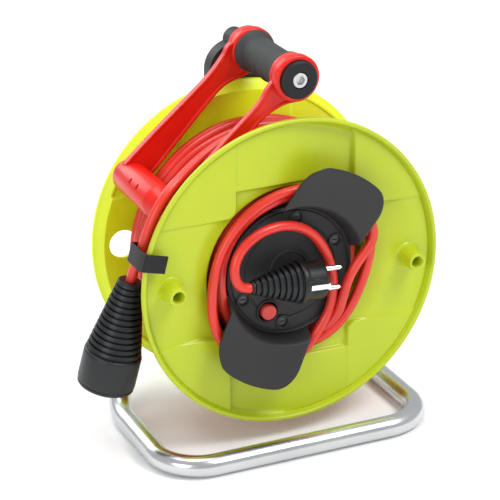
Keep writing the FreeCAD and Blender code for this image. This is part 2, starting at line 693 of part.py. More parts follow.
def handle_frame():
    """The red frame: a beam beside the drum, two swept arms and a ring on each."""
    front_arm = plate("front_arm", [
        ("-108", "60"), ("-116", "69"), ("-102", "88.5"), ("-60", "129"), ("-40", "147"), ("-26", "160.5"),
        ("-15", "176"), ("8", "190"), ("20", "160"), ("-4", "154"), ("-22", "145"), ("-40", "128"),
        ("-66", "106"), ("-96", "76")], ARM_THICK["front"], FRONT_ARM)
    rear_arm = plate("rear_arm", [
        ("-112", "64"), ("-124", "82"), ("-100", "107"), ("-60", "141"), ("-38", "160"), ("-24", "176"),
        ("-15", "188"), ("10", "192"), ("18", "166"), ("0", "157"), ("-22", "149"), ("-40", "132.5"),
        ("-70", "101"), ("-94", "76")], ARM_THICK["rear"], REAR_ARM)
    beam = rod("beam", "beam_radius", "75", "-beam_across", "36", "beam_height")
    nose_wires = []
    for back, across, height, radius in (("22", "-beam_across + 6", "beam_height - 6", "8"),
                                         ("36.5", "-beam_across", "beam_height", "beam_radius")):
        centre = place(across, back, height)
        nose_wires.append(Part.Wire([Part.Circle(centre, Vector(0, 1, 0), value(radius)).toShape()]))
    nose = doc.addObject("Part::Feature", "beam_nose")
    nose.Shape = Part.makeLoft(nose_wires, True, True)
    tail = sized("Part::Cone", "beam_tail", Radius1="beam_radius", Radius2="beam_radius - 4", Height="4")
    put(tail, "-beam_across", "110.9", f"{UP} + beam_height", ALONG_Y)
    rings = [
        rod("front_ring", "ring_radius", "18", "grip_across", "6", "grip_height"),
        rod("rear_ring", "ring_radius", "17.5", "grip_across", "98", "grip_height"),
    ]
    solid = joined("handle_solid", [front_arm, rear_arm, beam, nose, tail] + rings)
    bores = [
        rod("front_ring_seat", "17.3", "9", "grip_across", "5", "grip_height"),
        rod("core_seat_front", "10.15", "20", "grip_across", "18", "grip_height"),
        rod("core_seat_rear", "10.15", "8", "grip_across", "97", "grip_height"),
        rod("ring_bolt_way", "4.3", "120", "grip_across", "4", "grip_height"),
        block("dog_slot", "9.4", "6", "10.4", "grip_across - 4.7", "drum_width - 16.9",
              "grip_height - 19.7"),
    ]
    return less("handle", solid, bores)


def grip_parts():
    bolt_end = "(bracket_front + neck_depth + 3)"
    x, z = "grip_across", "grip_height"
    profile = [("10", "24.3"), ("19", "24.3"), ("19.5", "26"), ("19", "29"), ("grip_radius", "31")]
    profile += [("grip_radius", "91"), ("19.5", "94"), ("20", "96"), ("19.5", "97.7"), ("10", "97.7")]
    sleeve = put(spun("sleeve", profile), x, "0", f"{UP} + {z}")
    waves = [rod(f"grip_wave_{i}", "grip_radius * 0.8", "13", x, f"34 + {i} * 14", f"{z} - 5.2")
             for i in range(4)]
    bore = rod("sleeve_bore", "10", "90", x, "20", z)
    node(less("grip", joined("grip_solid", [sleeve] + waves), [bore]), "grip_sleeve")
    tube = rod("core_outside", "9.9", "85.6", x, "18.1", z)
    node(less("core_tube", tube, [rod("core_inside", "5", "90", x, "15", z)]), "grip_core")
    cap = put(spun("cap", [("4.3", "2"), ("7.7", "2"), ("7.7", "1"), ("15.5", "1"), ("17", "2.5"),
                           ("17", "13.9"), ("4.3", "13.9")]), x, "0", f"{UP} + {z}")
    seat = rod("cap_seat", "7.7", "8", x, "0", z)
    node(less("grip_cap", cap, [seat]), "grip_end_cap")
    head = put(spun("bolt", [("0", "1.5"), ("6.5", "1.5"), ("7.5", "2.5"), ("7.5", "8"), ("4", "8"),
                             ("4", bolt_end), ("0", bolt_end)]), x, "0", f"{UP} + {z}")
    key = sized("Part::Prism", "bolt_key", Circumradius="4.4", Height="5")
    key.Polygon = 6
    put(key, x, "1", f"{UP} + {z}", ALONG_Y)
    node(less("grip_bolt_cut", head, [key]), "grip_bolt")
    hexagon = sized("Part::Prism", "grip_hexagon", Circumradius="7.5", Height="6.5")
    hexagon.Polygon = 6
    put(hexagon, x, f"{bolt_end} - 9.8", f"{UP} + {z}", ALONG_Y)
    node(less("grip_nut_cut", hexagon, [rod("grip_nut_bore", "4", "12", x, f"{bolt_end} - 12", z)]),
         "grip_nut")


# --- cable tail, its clip and its coupling ----------------------------------------------------------

COUPLING_NECK = ("-145", "28", "9")
COUPLING_WAY = Vector(-0.225, 0.1, -0.969).normalize()
TAIL_ROUTE = [
    ("-22", "57", "121.6"), ("-43", "53.5", "116.2"), ("-63.5", "47", "109"), ("-82", "38", "102"),
    ("-96.5", "29.2", "96"), ("-108.3", "22.8", "90.4"), ("-117.8", "19.2", "82"),
    ("-125", "18", "71.5"), ("-130.3", "18", "60"), ("-134.5", "18.6", "48"), ("-138", "20.4", "36.5"),
    ("-141", "23.4", "26"), ("-143.4", "26.9", "16.5"), COUPLING_NECK,
]


def angled(obj, start, way):
    """Places a turned body with its own +Y along way."""
    obj.Placement = Placement(start, Rotation(Vector(0, 1, 0), way))
    return obj


def coupling_parts():
    start = place(*COUPLING_NECK)
    ribs = [("cord_radius", "0"), ("11.6", "0"), ("12.6", "3"), ("12.3", "8")]
    ribs += [("25.5", "70"), ("26.2", "72"), ("26.2", "100"), ("24.5", "104"), ("23", "104")]
    ribs += [("23", "78"), ("cord_radius", "74")]
    node(angled(spun("coupling", ribs), start, COUPLING_WAY), "coupling_body")
    insert = angled(spun("insert", [
        ("0", "79"), ("22.8", "79"), ("22.8", "103.2"), ("19.6", "103.2"), ("19.6", "86"), ("0", "86"),
    ]), start, COUPLING_WAY)
    across = COUPLING_WAY.cross(Vector(0, 1, 0)).normalize()
    holes = []
    contacts = []
    for i, side in enumerate((-1, 1)):
        at = start + across * (9.5 * side) + COUPLING_WAY * 79.5
        aim = Rotation(Vector(0, 0, 1), COUPLING_WAY)
        hole = sized("Part::Cylinder", f"contact_hole_{i}", Radius="3.3", Height="10")
        hole.Placement = Placement(at, aim)
        holes.append(hole)
        sleeve = sized("Part::Cylinder", f"contact_out_{i}", Radius="3.1", Height="5.5")
        sleeve.Placement = Placement(at + COUPLING_WAY * 0.3, aim)
        way = sized("Part::Cylinder", f"contact_in_{i}", Radius="2.5", Height="8")
        way.Placement = Placement(at + COUPLING_WAY * 1.3, aim)
        contacts.append(less(f"contact_{i}", sleeve, [way]))
    node(less("insert_cut", insert, holes), "coupling_insert")
    obj = doc.addObject("Part::Compound", "contacts")
    obj.Links = contacts
    node(obj, "coupling_contacts")


CLIP_TURN = 165.7
CLIP_TAB = "peg_offset + peg_radius + 2"
CLIP_OUTSIDE = "rim_radius + 5.8"


def cable_clip():
    """The clip that holds the tail to the rim: a C in section, open towards the axle."""
    wrap = on_drum("clip_section", [
        (CLIP_TAB, "-3.4"), (f"{CLIP_OUTSIDE} - 3", "-3.4"), (CLIP_OUTSIDE, "-1"), (CLIP_OUTSIDE, "27.6"),
        (f"{CLIP_OUTSIDE} - 3", "30.4"), ("rim_radius - 12", "30.4"), ("rim_radius - 12", "28.8"),
        (f"{CLIP_OUTSIDE} - 4", "28.8"), (f"{CLIP_OUTSIDE} - 2.4", "25.5"), (f"{CLIP_OUTSIDE} - 2.4", "0.2"),
        (f"{CLIP_OUTSIDE} - 4", "-0.8"), (CLIP_TAB, "-0.8"),
    ])
    mask = sized("Part::Box", "clip_mask", Length="60", Width="60", Height="17")
    turn = Rotation(Vector(0, 1, 0), 180 - CLIP_TURN)
    corner = turn.multVec(Vector(-value("rim_radius") - 10, 0, -8.5))
    mask.Placement = Placement(place("0", "-20", "0") + corner, turn)
    return shared("cable_clip", wrap, mask)


# --- lead: coil, loop and plug ----------------------------------------------------------------------

PLUG_TAIL = ("-47", "-10", "-1")
PLUG_WAY = Vector(0.9984, 0, -0.0562).normalize()
LOOP_ROUTE = [
    PLUG_TAIL, ("-54", "-10", "-0.6"), ("-60.5", "-9.5", "6"), ("-62.5", "-8.6", "17"),
    ("-58.5", "-7", "29.5"), ("-46.5", "-5.5", "42"), ("-26", "-4", "50"), ("-3", "-1.6", "48.6"),
    ("17", "0.6", "37.5"), ("31", "2", "18.5"), ("39", "3", "-3.5"), ("41", "3.4", "-26"),
    ("36.5", "3.8", "-45"), ("30", "3.8", "-56"),
]
COIL_FRONT = "0.4"
COIL_TURNS = 12
COIL_FLAT_OUTSIDE = {10: ("42", "-64"), 11: ("61", "-37"), 0: ("77", "-2")}
COIL_FLAT_INSIDE = {10: ("38", "-59"), 11: ("57", "-31"), 0: ("66", "3")}


def lead_coil():
    """The outer shape of the loosely wound lead: a full ring behind, a ring with a flat side in front."""
    behind = on_drum("coil_behind", [
        ("hub_radius + fit_gap", "hub_face - fit_gap"), (f"{CORE_BORE} - fit_gap", "hub_face - fit_gap"),
        (f"{CORE_BORE} - fit_gap", "hub_face + 11"), ("hub_radius + fit_gap", "hub_face + 11"),
    ])
    ease = math.cos(math.pi / COIL_TURNS)
    depth = f"hub_face - fit_gap - {COIL_FRONT}"
    rings = []
    for name, radius, flat in (("outside", f"({CORE_BORE} - fit_gap)", COIL_FLAT_OUTSIDE),
                               ("inside", "(hub_radius + 8)", COIL_FLAT_INSIDE)):
        corners = [flat.get(k, around(f"{radius} / {ease:.6f}", 360 / COIL_TURNS * k))
                   for k in range(COIL_TURNS)]
        rings.append(plate("coil_" + name, corners, depth, COIL_FRONT))
    return joined("coil", [behind, less("coil_ring", rings[0], [rings[1]])])


def plug_parts():
    start = place(*PLUG_TAIL)
    body = [("0", "0"), ("6.2", "0"), ("6.8", "2"), ("10", "12"), ("19.3", "44"), ("19.5", "47"),
            ("18.5", "49"), ("18.5", "68.5"), ("17.5", "69.5"), ("0", "69.5")]
    solid = angled(spun("plug", body), start, PLUG_WAY)
    across = Vector(0, 1, 0).cross(PLUG_WAY).normalize()
    aim = Rotation(Vector(0, 0, 1), PLUG_WAY)
    holes = []
    pins = []
    for i, side in enumerate((-1, 1)):
        at = start + across * (9.5 * side)
        hole = sized("Part::Cylinder", f"pin_hole_{i}", Radius="2.4", Height="20")
        hole.Placement = Placement(at + PLUG_WAY * 55, aim)
        holes.append(hole)
        pin = sized("Part::Cylinder", f"pin_{i}", Radius="2.4", Height="31.5")
        pin.Placement = Placement(at + PLUG_WAY * 55, aim)
        tip = sized("Part::Cone", f"pin_tip_{i}", Radius1="2.4", Radius2="1.2", Height="2")
        tip.Placement = Placement(at + PLUG_WAY * 86.5, aim)
        pins.append(joined(f"pin_solid_{i}", [pin, tip]))
    strips = []
    for i, side in enumerate((-1, 1)):
        slot = sized("Part::Box", f"earth_slot_{i}", Length="19", Width="2.4", Height="5")
        strip = sized("Part::Box", f"earth_{i}", Length="18.6", Width="1.6", Height="4.6")
        frame = Rotation(PLUG_WAY, Vector(0, 1, 0), Vector(), "XYZ")
        for piece, lift, rise in ((slot, 17.3, 2.5), (strip, 16.4, 2.3)):
            width = 2.4 if piece is slot else 1.6
            low = lift * side - (width if side < 0 else 0)
            base = start + PLUG_WAY * (50.9 if piece is slot else 51) + Vector(0, low, 0)
            piece.Placement = Placement(base - frame.multVec(Vector(0, 0, rise)), frame)
        strips.append(strip)
        holes.append(slot)
        pocket = sized("Part::Box", f"earth_pocket_{i}", Length="19", Width="2.4", Height="5")
        low = 16.3 * side - (2.4 if side < 0 else 0)
        base = start + PLUG_WAY * 50.9 + Vector(0, low, 0)
        pocket.Placement = Placement(base - frame.multVec(Vector(0, 0, 2.5)), frame)
        holes.append(pocket)
    node(less("plug_cut", solid, holes), "plug_body")
    for name, label, made in (("pins", "plug_pins", pins), ("strips", "plug_earth_clips", strips)):
        obj = doc.addObject("Part::Compound", name)
        obj.Links = made
        node(obj, label)


# --- assembly ---------------------------------------------------------------------------------------

node(front_flange(), "front_flange")
node(rear_flange(), "rear_flange")
node(screws("drum_screw", DRUM_SCREW_TURNS, DRUM_SCREW_OFFSET, "2.2", "4.5", "2.6", "26", "recess_depth"),
     "drum_screws")
node(bush("bush_in_front", "recess_depth", f"{WEB_BACK} + {BOSS_LENGTH}", True), "front_bush")
node(bush("bush_at_rear", f"{REAR_PLATE} + flange_wall - 22", "drum_width - dish", False), "rear_bush")
node(lead_hub(), "lead_hub")
node(screws("hub_screw", HUB_SCREW_TURNS, HUB_SCREW_OFFSET, "2", "4", "2.6", "45", "hub_face + 4"),
     "lead_hub_screws")
reset_parts()
grommets()
terminal_parts()
node(frame_tube(), "frame_tube")
node(rear_bracket(), "rear_bracket")
node(socket_screws(), "tube_screws")
axle_parts()
node(handle_frame(), "handle_frame")
grip_parts()
node(on_drum("winding", [
    ("core_radius + fit_gap", f"{PLATE_BACK} + fit_gap"), ("winding_radius", f"{PLATE_BACK} + fit_gap"),
    ("winding_radius", f"{REAR_PLATE} - fit_gap"), ("core_radius + fit_gap", f"{REAR_PLATE} - fit_gap"),
]), "main_winding")
node(swept("tail", [place(*p) for p in TAIL_ROUTE], value("cord_radius")), "cable_tail")
coupling_parts()
node(cable_clip(), "cable_clip")
node(lead_coil(), "lead_coil")
node(swept("loop", [place(*p) for p in LOOP_ROUTE], value("cord_radius")), "lead_loop")
plug_parts()

doc.recompute()
for obj in doc.Objects:
    if any(state in ("Invalid", "Error") for state in obj.State):
        raise RuntimeError(f"{obj.Name} ({obj.Label}) could not be built: {obj.State}")
for obj in nodes:
    if obj.Shape.isNull() or not obj.Shape.isValid() or not obj.Shape.Solids:
        raise RuntimeError(f"{obj.Label} has no valid solid")
    obj.Shape.exportStep(f"parts/{obj.Label}.step")
print("wrote", len(nodes), "nodes")
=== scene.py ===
"""Studio scene of an extension cord reel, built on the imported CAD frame."""
import json
import math
import random

import bmesh
import bpy
from mathutils import Matrix, Vector

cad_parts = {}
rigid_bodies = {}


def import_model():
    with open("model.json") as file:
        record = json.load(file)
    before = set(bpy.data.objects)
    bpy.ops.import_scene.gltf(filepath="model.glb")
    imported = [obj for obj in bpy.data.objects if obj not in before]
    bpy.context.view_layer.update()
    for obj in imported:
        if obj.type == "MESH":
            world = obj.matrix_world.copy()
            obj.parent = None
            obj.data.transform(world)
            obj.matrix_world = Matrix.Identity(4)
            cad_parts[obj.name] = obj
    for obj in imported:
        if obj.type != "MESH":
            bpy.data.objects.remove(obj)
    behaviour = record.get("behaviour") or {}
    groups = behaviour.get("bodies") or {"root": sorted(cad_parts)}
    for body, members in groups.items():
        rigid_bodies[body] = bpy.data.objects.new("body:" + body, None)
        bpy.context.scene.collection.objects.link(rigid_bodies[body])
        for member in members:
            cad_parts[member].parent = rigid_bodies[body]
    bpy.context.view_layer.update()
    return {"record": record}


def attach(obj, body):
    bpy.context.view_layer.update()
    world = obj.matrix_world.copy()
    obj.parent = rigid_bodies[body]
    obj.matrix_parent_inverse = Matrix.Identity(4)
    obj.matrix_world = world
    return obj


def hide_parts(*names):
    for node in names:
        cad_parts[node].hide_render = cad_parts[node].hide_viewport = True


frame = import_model()

MM = 0.001
LIP = -62.0      # the front lip's place along the row's y, in mm
AXLE = 163.4     # the axle's height above the floor, in mm
CORD = 9.0       # cable diameter, in mm
random.seed(7)


def at(x, y, z):
    """A point in metres from mm: x, distance behind the front lip, height above the axle."""
    return Vector((x, y + LIP, z + AXLE)) * MM


def polar(radius, degrees, y):
    turn = math.radians(degrees)
    return at(radius * math.cos(turn), y, radius * math.sin(turn))


def ramp(value, low, high):
    """0 below low, 1 above high, smooth between."""
    t = min(max((value - low) / (high - low), 0.0), 1.0)
    return t * t * (3 - 2 * t)


# --- materials ------------------------------------------------------------------------------------

def rgb(red, green, blue):
    """A display colour from 0 to 255 as linear light."""
    linear = []
    for part in (red, green, blue):
        c = part / 255
        linear.append(c / 12.92 if c <= 0.04045 else ((c + 0.055) / 1.055) ** 2.4)
    return (*linear, 1.0)


def finish(name, light, dark, rough, size, bump, grain=0.0, metal=0.0, coat=0.0, under=0.0, clear=0.5):
    """A surface that wanders between two colours, with its own roughness wear and fine bump."""
    mat = bpy.data.materials.new(name)
    mat.use_nodes = True
    tree = mat.node_tree
    skin_node = tree.nodes["Principled BSDF"]
    skin_node.inputs["Metallic"].default_value = metal
    skin_node.inputs["Coat Weight"].default_value = coat
    skin_node.inputs["Coat Roughness"].default_value = 0.12
    skin_node.inputs["Subsurface Weight"].default_value = under
    skin_node.inputs["Subsurface Radius"].default_value = (0.004, 0.003, 0.001)
    skin_node.inputs["Specular IOR Level"].default_value = clear
    place = tree.nodes.new("ShaderNodeTexCoord")
    broad = tree.nodes.new("ShaderNodeTexNoise")
    broad.inputs["Scale"].default_value = 14
    broad.inputs["Detail"].default_value = 4
    fine = tree.nodes.new("ShaderNodeTexNoise")
    fine.inputs["Scale"].default_value = size
    fine.inputs["Detail"].default_value = 3
    for texture in (broad, fine):
        tree.links.new(place.outputs["Object"], texture.inputs["Vector"])
    colours = tree.nodes.new("ShaderNodeValToRGB")
    colours.color_ramp.elements[0].position = 0.35
    colours.color_ramp.elements[0].color = dark
    colours.color_ramp.elements[1].position = 0.65
    colours.color_ramp.elements[1].color = light
    mixed = tree.nodes.new("ShaderNodeMath")
    mixed.operation = "MULTIPLY_ADD"
    mixed.inputs[1].default_value = grain
    tree.links.new(fine.outputs["Fac"], mixed.inputs[0])
    shifted = tree.nodes.new("ShaderNodeMath")
    shifted.operation = "SUBTRACT"
    shifted.inputs[1].default_value = grain / 2
    tree.links.new(broad.outputs["Fac"], shifted.inputs[0])
    tree.links.new(shifted.outputs[0], mixed.inputs[2])
    tree.links.new(mixed.outputs[0], colours.inputs["Fac"])
    tree.links.new(colours.outputs["Color"], skin_node.inputs["Base Color"])
    wear = tree.nodes.new("ShaderNodeMapRange")
    wear.inputs["From Min"].default_value = 0.3
    wear.inputs["From Max"].default_value = 0.7
    wear.inputs["To Min"].default_value = rough * 0.88
    wear.inputs["To Max"].default_value = min(rough * 1.15, 1.0)
    tree.links.new(broad.outputs["Fac"], wear.inputs["Value"])
    tree.links.new(wear.outputs["Result"], skin_node.inputs["Roughness"])
    relief = tree.nodes.new("ShaderNodeBump")
    relief.inputs["Strength"].default_value = bump
    relief.inputs["Distance"].default_value = 0.0004
    tree.links.new(fine.outputs["Fac"], relief.inputs["Height"])
    tree.links.new(relief.outputs["Normal"], skin_node.inputs["Normal"])
    return mat


LIME = finish("lime_plastic", rgb(180, 195, 30), rgb(174, 189, 24), 0.36, 900, 0.05, under=0.06)
# painted light: a brighter, yellower copy of the lime plastic for the rear flange's shaded inner face; the
# real rear flange is the same plastic as the front one
LIME_PAINTED_LIGHT = finish("lime_painted_light", rgb(222, 240, 24), rgb(216, 234, 18), 0.42, 900, 0.05, under=0.3)
HUB = finish("hub_plastic", rgb(40, 40, 41), rgb(34, 34, 36), 0.56, 2600, 0.45, grain=0.3, clear=0.42)
BRACKET = finish("bracket_plastic", rgb(42, 43, 45), rgb(36, 37, 39), 0.5, 2200, 0.3, grain=0.2, clear=0.4)
RED = finish("red_plastic", rgb(214, 30, 16), rgb(202, 22, 12), 0.32, 700, 0.04, coat=0.04, under=0.05,
             clear=0.34)
GRIP = finish("grip_rubber", rgb(60, 63, 62), rgb(50, 53, 53), 0.66, 2400, 0.5, grain=0.4, clear=0.35)
BLACK = finish("black_plastic", rgb(26, 26, 28), rgb(20, 20, 22), 0.5, 2000, 0.2, clear=0.3)
CHROME = finish("bright_tube", (0.66, 0.67, 0.68, 1), (0.58, 0.59, 0.6, 1), 0.25, 500, 0.06, metal=1.0)
STEEL = finish("plated_steel", (0.62, 0.62, 0.63, 1), (0.52, 0.52, 0.53, 1), 0.3, 1200, 0.1, metal=1.0)
DARK_STEEL = finish("black_steel", (0.08, 0.08, 0.085, 1), (0.05, 0.05, 0.055, 1), 0.42, 1200, 0.1, metal=0.6)
BUSH = finish("bush_plastic", rgb(226, 222, 208), rgb(214, 210, 196), 0.5, 1200, 0.1)
CABLE = finish("red_cable", rgb(218, 50, 36), rgb(202, 38, 28), 0.34, 500, 0.05, coat=0.12, under=0.08)
RUBBER = finish("black_rubber", rgb(28, 29, 31), rgb(22, 23, 24), 0.4, 1800, 0.25, coat=0.05, clear=0.36)
INSERT = finish("insert_plastic", rgb(60, 61, 63), rgb(50, 51, 53), 0.5, 1500, 0.2)
NICKEL = finish("nickel", (0.85, 0.84, 0.82, 1), (0.76, 0.75, 0.73, 1), 0.18, 900, 0.05, metal=1.0)
BUTTON = finish("red_button", rgb(216, 66, 60), rgb(204, 54, 50), 0.35, 900, 0.05, under=0.1)
SLOTS = {"lime_plastic": LIME, "hub_plastic": HUB, "bracket_plastic": BRACKET, "red_plastic": RED,
         "grip_rubber": GRIP, "black_plastic": BLACK, "bright_tube": CHROME, "plated_steel": STEEL,
         "black_steel": DARK_STEEL, "bush_plastic": BUSH, "red_cable": CABLE, "black_rubber": RUBBER,
         "insert_plastic": INSERT, "nickel": NICKEL, "red_button": BUTTON}
for part in frame["record"]["subparts"]:
    shown = bpy.data.objects[part["node"]]
    shown.data.materials.clear()
    shown.data.materials.append(SLOTS[part["material_slot"]])


# --- making pieces --------------------------------------------------------------------------------

def piece(name, mesh, slot, body, stands_for=(), mat=None, bevel=0.0, sharp=32.0):
    """Puts a mesh in the scene as a piece of a body, smooth except at its sharp edges."""
    obj = bpy.data.objects.new(name, mesh)
    bpy.context.scene.collection.objects.link(obj)
    mesh.materials.append(mat or SLOTS[slot])
    if bevel:
        rounding = obj.modifiers.new("rounding", "BEVEL")
        rounding.width = bevel * MM
        rounding.segments = 3
        rounding.limit_method = "ANGLE"
        rounding.angle_limit = math.radians(sharp)
    mesh.shade_smooth()
    mesh.set_sharp_from_angle(angle=math.radians(sharp))
    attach(obj, body)
    if stands_for:
        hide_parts(*stands_for)
    return obj


def surface(rows, around=True, closed=False, capped=False):
    """A mesh through rows of points. around joins each row's ends, closed the last row to the first."""
    n = len(rows[0])
    faces = []
    for i in range(len(rows) if closed else len(rows) - 1):
        j = (i + 1) % len(rows)
        for k in range(n if around else n - 1):
            m = (k + 1) % n
            faces.append((i * n + k, j * n + k, j * n + m, i * n + m))
    if capped:
        faces.append(tuple(range(n)))
        faces.append(tuple(range((len(rows) - 1) * n, len(rows) * n)))
    mesh = bpy.data.meshes.new("surface")
    mesh.from_pydata([p for row in rows for p in row], [], faces)
    work = bmesh.new()
    work.from_mesh(mesh)
    bmesh.ops.remove_doubles(work, verts=work.verts, dist=0.00001)
    bmesh.ops.recalc_face_normals(work, faces=work.faces)
    work.to_mesh(mesh)
    work.free()
    return mesh


def lathe(profile, start, way, steps=96, closed=False, shape=None):
    """Turns (along, radius) pairs in mm about the line from start along way."""
    way = way.normalized()
    side = way.cross(Vector((0, 0, 1)))
    if side.length < 0.1:
        side = way.cross(Vector((0, 1, 0)))
    side.normalize()
    up = side.cross(way)
    rows = []
    for along, radius in profile:
        row = []
        for k in range(steps):
            turn = 2 * math.pi * k / steps
            reach = radius if shape is None else shape(along, radius, turn)
            row.append(start + (way * along + (side * math.cos(turn) + up * math.sin(turn)) * reach) * MM)
        rows.append(row)
    capped = not closed and profile[0][1] > 0 and profile[-1][1] > 0
    return surface(rows, closed=closed, capped=capped)


BACK = Vector((0, 1, 0))


def smooth_line(points, parts=6, closed=True):
    """Points along the curve through 2-D points."""
    n = len(points)
    line = []
    for i in range(n if closed else n - 1):
        near = [Vector(points[(i + k) % n] if closed else points[min(max(i + k, 0), n - 1)])
                for k in (-1, 0, 1, 2)]
        for k in range(parts):
            t = k / parts
            line.append(0.5 * (2 * near[1] + (near[2] - near[0]) * t
                               + (2 * near[0] - 5 * near[1] + 4 * near[2] - near[3]) * t * t
                               + (3 * near[1] - near[0] - 3 * near[2] + near[3]) * t ** 3))
    if not closed:
        line.append(Vector(points[-1]))
    return line


def slab(outline, front, back, rim=0.0, sunk=0.0):
    """A flat mesh with an outline of (x, z) in mm from front to back, its faces sunk inside a rim."""
    work = bmesh.new()
    low = [work.verts.new(at(x, front, z)) for x, z in outline]
    high = [work.verts.new(at(x, back, z)) for x, z in outline]
    faces = [work.faces.new(low), work.faces.new(high)]
    n = len(outline)
    for i in range(n):
        work.faces.new((low[i], low[(i + 1) % n], high[(i + 1) % n], high[i]))
    bmesh.ops.recalc_face_normals(work, faces=work.faces)
    if rim:
        bmesh.ops.inset_individual(work, faces=faces, thickness=rim * MM, depth=0)
        bmesh.ops.inset_individual(work, faces=faces, thickness=0.6 * MM, depth=-sunk * MM)
    mesh = bpy.data.meshes.new("slab")
    work.to_mesh(mesh)
    work.free()
    return mesh


def cut(obj, tool_mesh):
    """Takes a shape out of a piece."""
    tool = bpy.data.objects.new("tool", tool_mesh)
    bpy.context.scene.collection.objects.link(tool)
    change = obj.modifiers.new("cut", "BOOLEAN")
    change.object = tool
    change.operation = "DIFFERENCE"
    change.solver = "EXACT"
    bpy.context.view_layer.update()
    graph = bpy.context.evaluated_depsgraph_get()
    done = bpy.data.meshes.new_from_object(obj.evaluated_get(graph))
    obj.modifiers.remove(change)
    obj.data = done
    bpy.data.objects.remove(tool)
    done.shade_smooth()
    done.set_sharp_from_angle(angle=math.radians(32))


def cable(name, points, mat):
    """A smooth round cable through its route's points."""
    curve = bpy.data.curves.new(name, "CURVE")
    curve.dimensions = "3D"
    spline = curve.splines.new("NURBS")
    spline.points.add(len(points) - 1)
    for knot, p in zip(spline.points, points):
        knot.co = (*p, 1)
    spline.order_u = 3
    spline.use_endpoint_u = True
    spline.resolution_u = 6
    curve.bevel_depth = CORD / 2 * MM
    curve.bevel_resolution = 5
    curve.use_fill_caps = True
    curve.materials.append(mat)
    obj = bpy.data.objects.new(name, curve)
    bpy.context.scene.collection.objects.link(obj)
    return obj


# --- camera, lights and floor ---------------------------------------------------------------------

RIGHT = Vector((0.911836, -0.410515, -0.005625))
UPWARD = Vector((0.162641, 0.348609, 0.923049))
AHEAD = Vector((0.376965, 0.842585, -0.384641))
lens = bpy.data.cameras.new("camera")
lens.sensor_width = 36
lens.lens = 144.82
camera = bpy.data.objects.new("camera", lens)
turned = Matrix((RIGHT, UPWARD, -AHEAD)).transposed().to_4x4()
camera.matrix_world = Matrix.Translation(Vector((-0.70809, -1.54833, 0.87264))) @ turned
bpy.context.scene.collection.objects.link(camera)
bpy.context.scene.camera = camera
bpy.context.scene.view_settings.view_transform = "Standard"


def lamp(name, where, towards, size, power, colour=(1, 1, 1)):
    data = bpy.data.lights.new(name, "AREA")
    data.shape = "DISK"
    data.size = size
    data.energy = power
    data.color = colour
    obj = bpy.data.objects.new(name, data)
    obj.location = where
    obj.rotation_mode = "QUATERNION"
    obj.rotation_quaternion = (Vector(towards) - Vector(where)).to_track_quat("-Z", "Y")
    bpy.context.scene.collection.objects.link(obj)


CENTRE = (0, 0, 0.18)
lamp("key", (0.75, -1.1, 1.9), CENTRE, 0.9, 26)
lamp("fill", (-1.9, -1.3, 0.9), CENTRE, 1.2, 14)
lamp("top", (-0.2, 0.3, 2.2), CENTRE, 1.4, 22)
lamp("back", (-0.6, 1.8, 1.2), CENTRE, 1.2, 12)
world = bpy.data.worlds.new("studio")
world.use_nodes = True
world.node_tree.nodes["Background"].inputs["Color"].default_value = (0.96, 0.98, 1.0, 1)
world.node_tree.nodes["Background"].inputs["Strength"].default_value = 0.62
bpy.context.scene.world = world

floor_mat = bpy.data.materials.new("pale_floor")
floor_mat.use_nodes = True
floor_skin = floor_mat.node_tree.nodes["Principled BSDF"]
floor_skin.inputs["Base Color"].default_value = (0.95, 0.95, 0.95, 1)
floor_skin.inputs["Roughness"].default_value = 0.9
floor_skin.inputs["Specular IOR Level"].default_value = 0.1
floor_mesh = bpy.data.meshes.new("floor")
floor_mesh.from_pydata([(-9, -9, 0), (9, -9, 0), (9, 9, 0), (-9, 9, 0)], [], [(0, 1, 2, 3)])
floor_mesh.materials.append(floor_mat)
floor = bpy.data.objects.new("floor", floor_mesh)
bpy.context.scene.collection.objects.link(floor)


# --- drum -----------------------------------------------------------------------------------------

STEPS = 720
PANELS = [(-53, 60), (60, 52), (56, -60), (-60, -51)]


def corner(x, z, x_edge, z_edge, rounded=9.0):
    """1 inside a corner panel that starts at x_edge and z_edge, 0 outside it."""
    across = (x - x_edge) * math.copysign(1, x_edge)
    upward = (z - z_edge) * math.copysign(1, z_edge)
    inside = min(across, upward)
    if across < rounded and upward < rounded:
        inside = rounded - math.hypot(rounded - across, rounded - upward)
    return ramp(inside, -1.3, 1.3)


def mix(a, b, part):
    return a + (b - a) * part


def dish(x, z):
    """How far the front flange's face lies behind its lip, in mm."""
    out = math.hypot(x, z)
    along = x if z > 0 else -x
    end_arm = 5.4 + 3.8 * ramp(along, -24, 42)
    end_arm = mix(9.3, end_arm, ramp(abs(z), 82.4, 85.4))
    down = -z if x < 0 else z
    side_arm = 5.8 + 3.4 * ramp(down, -14, 48) * ramp(128 - out, 0, 34)
    side_arm = mix(9.3, side_arm, ramp(out, 82, 99))
    arms = mix(side_arm, end_arm, ramp(abs(z) - abs(x), -7, 7))
    depth = mix(arms, 4.4, max(corner(x, z, *edges) for edges in PANELS))
    return min(depth, 9.3 - 1.03 * max(out - 136, 0))


def around_drum(radius, depth):
    """A ring of points about the axle; depth is in mm, or a function of x and z."""
    row = []
    for k in range(STEPS):
        turn = 2 * math.pi * k / STEPS
        x, z = radius * math.cos(turn), radius * math.sin(turn)
        row.append(at(x, depth(x, z) if callable(depth) else depth, z))
    return row


